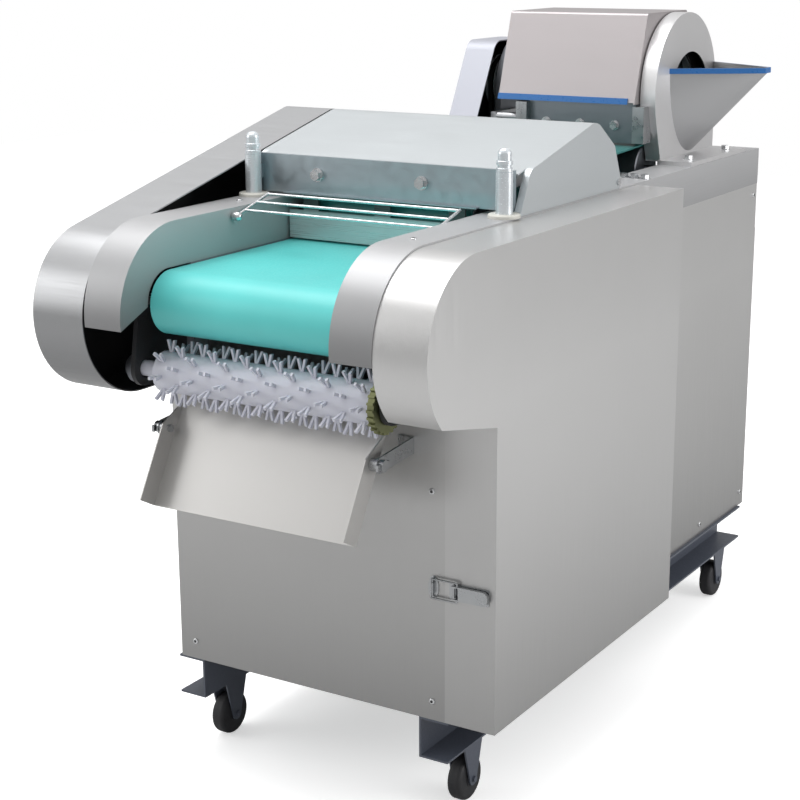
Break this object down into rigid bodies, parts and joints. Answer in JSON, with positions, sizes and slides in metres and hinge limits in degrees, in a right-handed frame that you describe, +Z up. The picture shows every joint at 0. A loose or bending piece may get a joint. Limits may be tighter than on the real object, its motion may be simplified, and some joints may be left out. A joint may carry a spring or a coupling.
{
  "type": "vegetable cutting machine",
  "caption": "Free-standing stainless vegetable cutting machine with a conveyor, a reciprocating cross knife, a finger roller over a chute and a disc slicing head with a feed hopper",
  "frame": {"origin": "middle of the bounding box footprint, on the floor under the wheels", "axes": "+Z up, +Y from the discharge end to the feed end, +X to the right seen from the discharge end"},
  "size_m": [0.707, 1.461, 1.21],
  "materials": {
    "stainless_panel": "brushed stainless sheet",
    "stainless_bright": "bright brushed stainless sheet",
    "white_steel": "pale satin steel",
    "chrome": "polished ground steel",
    "zinc_dark": "blue-grey zinc plated steel",
    "zinc_bright": "bright zinc plated steel",
    "belt_green": "pale green belt cover",
    "belt_teal": "dark green belt cover",
    "black_belt": "black rubber belt",
    "nylon_white": "white nylon",
    "olive": "dull olive plating",
    "rail_grey": "grey painted steel",
    "frame_steel": "grey painted steel",
    "cream": "cream painted metal",
    "blue_strip": "blue edge strip",
    "guard_grey": "pale grey sheet",
    "motor_grey": "grey paint",
    "wheel_black": "black rubber"
  },
  "bodies": {
    "machine": {"base_rails": "rail_grey", "inner_frame": "frame_steel", "front_panel": "stainless_panel", "right_panel": "stainless_panel", "left_panel": "stainless_panel", "rear_panel": "stainless_panel", "side_beam_right": "stainless_bright", "side_beam_left": "stainless_bright", "right_cover": "stainless_panel", "left_cover": "stainless_panel", "panel_screws": "zinc_bright", "wheel_forks": "rail_grey", "conveyor_belt": "belt_green", "belt_bed": "frame_steel", "press_belt": "belt_teal", "inner_brackets": "frame_steel", "shaft_bearings": "frame_steel", "chute_brackets": "stainless_panel", "chute_bolts": "zinc_bright", "guard_pivots": "zinc_bright", "guide_bushes": "cream", "motors": "motor_grey", "drive_belts": "black_belt", "hood_hinges": "zinc_bright", "disc_housing": "stainless_bright", "bearing_plate": "zinc_dark", "lip_plate": "stainless_bright", "lip_blocks": "zinc_dark", "head_bolts": "zinc_bright", "box_pins": "zinc_bright", "hopper": "stainless_bright", "hopper_rim": "blue_strip", "belt_guard": "guard_grey", "latch_base": "zinc_bright"},
    "nose_drum": {"nose_drum": "zinc_bright"},
    "rear_drum": {"rear_drum": "zinc_bright"},
    "press_front_roller": {"press_front_roller": "zinc_bright"},
    "press_rear_roller": {"press_rear_roller": "zinc_bright"},
    "finger_roller": {"finger_roller": "nylon_white", "roller_gear": "olive"},
    "knife_gate": {"guide_posts": "chrome", "post_caps": "chrome", "knife_beam": "zinc_dark", "knife_blade": "chrome", "gate_bolts": "zinc_bright", "crosshead": "zinc_dark"},
    "crank": {"crankshaft": "zinc_dark"},
    "hood": {"hood": "white_steel"},
    "chute": {"chute": "stainless_panel"},
    "wire_guard": {"wire_guard": "zinc_bright"},
    "slicer": {"slicing_disc": "chrome", "spindle": "chrome"},
    "discharge_box": {"discharge_box": "stainless_bright", "box_trim": "blue_strip"},
    "latch_lever": {"latch_lever": "zinc_bright"},
    "latch_bail": {"latch_bail": "zinc_bright"},
    "wheel_front_left": {"wheel_front_left": "wheel_black"},
    "wheel_front_right": {"wheel_front_right": "wheel_black"},
    "wheel_rear_left": {"wheel_rear_left": "wheel_black"},
    "wheel_rear_right": {"wheel_rear_right": "wheel_black"}
  },
  "joints": [
    {"name": "belt_drive", "type": "hinge", "parent": "machine", "child": "rear_drum", "pos_m": [0.0085, 0.6185, 0.809], "axis": [1, 0, 0], "continuous": true},
    {"name": "nose_drum_spin", "type": "hinge", "parent": "machine", "child": "nose_drum", "pos_m": [0.0085, -0.6135, 0.809], "axis": [1, 0, 0], "continuous": true},
    {"name": "press_rear_spin", "type": "hinge", "parent": "machine", "child": "press_rear_roller", "pos_m": [0.0085, 0.3985, 0.919], "axis": [1, 0, 0], "continuous": true},
    {"name": "press_front_spin", "type": "hinge", "parent": "machine", "child": "press_front_roller", "pos_m": [0.0085, -0.2395, 0.907], "axis": [1, 0, 0], "continuous": true},
    {"name": "finger_roller_spin", "type": "hinge", "parent": "machine", "child": "finger_roller", "pos_m": [0.0085, -0.6315, 0.702], "axis": [1, 0, 0], "continuous": true},
    {"name": "slicer_spin", "type": "hinge", "parent": "machine", "child": "slicer", "pos_m": [0.0085, 0.5065, 1.061], "axis": [1, 0, 0], "continuous": true},
    {"name": "knife_stroke", "type": "slide", "parent": "machine", "child": "knife_gate", "axis": [0, 0, 1], "range_m": [0, 0.035]},
    {"name": "crank_turn", "type": "hinge", "parent": "machine", "child": "crank", "pos_m": [0.0085, -0.3195, 0.59], "axis": [1, 0, 0], "range_deg": [0, 180.5]},
    {"name": "hood_lift", "type": "hinge", "parent": "machine", "child": "hood", "pos_m": [0.0085, 0.05334, 0.944], "axis": [-1, 0, 0], "range_deg": [0, 75]},
    {"name": "box_lift", "type": "hinge", "parent": "machine", "child": "discharge_box", "pos_m": [0.0085, 0.6325, 1.06], "axis": [-1, 0, 0], "range_deg": [0, 55]},
    {"name": "chute_tilt", "type": "hinge", "parent": "machine", "child": "chute", "pos_m": [0.0085, -0.62584, 0.60818], "axis": [1, 0, 0], "range_deg": [-20, 6]},
    {"name": "wire_guard_flip", "type": "hinge", "parent": "machine", "child": "wire_guard", "pos_m": [0.0085, -0.4465, 0.918], "axis": [1, 0, 0], "range_deg": [0, 140]},
    {"name": "latch_open", "type": "hinge", "parent": "machine", "child": "latch_lever", "pos_m": [0.2845, -0.5375, 0.396], "axis": [0, 0, -1], "range_deg": [0, 150]},
    {"name": "bail_swing", "type": "hinge", "parent": "latch_lever", "child": "latch_bail", "pos_m": [0.2905, -0.5375, 0.396], "axis": [0, 0, -1], "range_deg": [-150.5, 0.5]},
    {"name": "wheel_front_left_spin", "type": "hinge", "parent": "machine", "child": "wheel_front_left", "pos_m": [-0.2285, -0.4335, 0.0375], "axis": [1, 0, 0], "continuous": true},
    {"name": "wheel_front_right_spin", "type": "hinge", "parent": "machine", "child": "wheel_front_right", "pos_m": [0.2455, -0.4335, 0.0375], "axis": [1, 0, 0], "continuous": true},
    {"name": "wheel_rear_left_spin", "type": "hinge", "parent": "machine", "child": "wheel_rear_left", "pos_m": [-0.2285, 0.6185, 0.0375], "axis": [1, 0, 0], "continuous": true},
    {"name": "wheel_rear_right_spin", "type": "hinge", "parent": "machine", "child": "wheel_rear_right", "pos_m": [0.2455, 0.6185, 0.0375], "axis": [1, 0, 0], "continuous": true}
  ],
  "couplings": [
    {"joint": "nose_drum_spin", "follows": "belt_drive", "ratio": 1},
    {"joint": "press_rear_spin", "follows": "belt_drive", "ratio": -1},
    {"joint": "press_front_spin", "follows": "belt_drive", "ratio": -1.3158},
    {"joint": "finger_roller_spin", "follows": "belt_drive", "ratio": -1},
    {"joint": "crank_turn", "follows": "knife_stroke", "rad_per_m": 89.76},
    {"joint": "bail_swing", "follows": "latch_open", "ratio": -1}
  ]
}
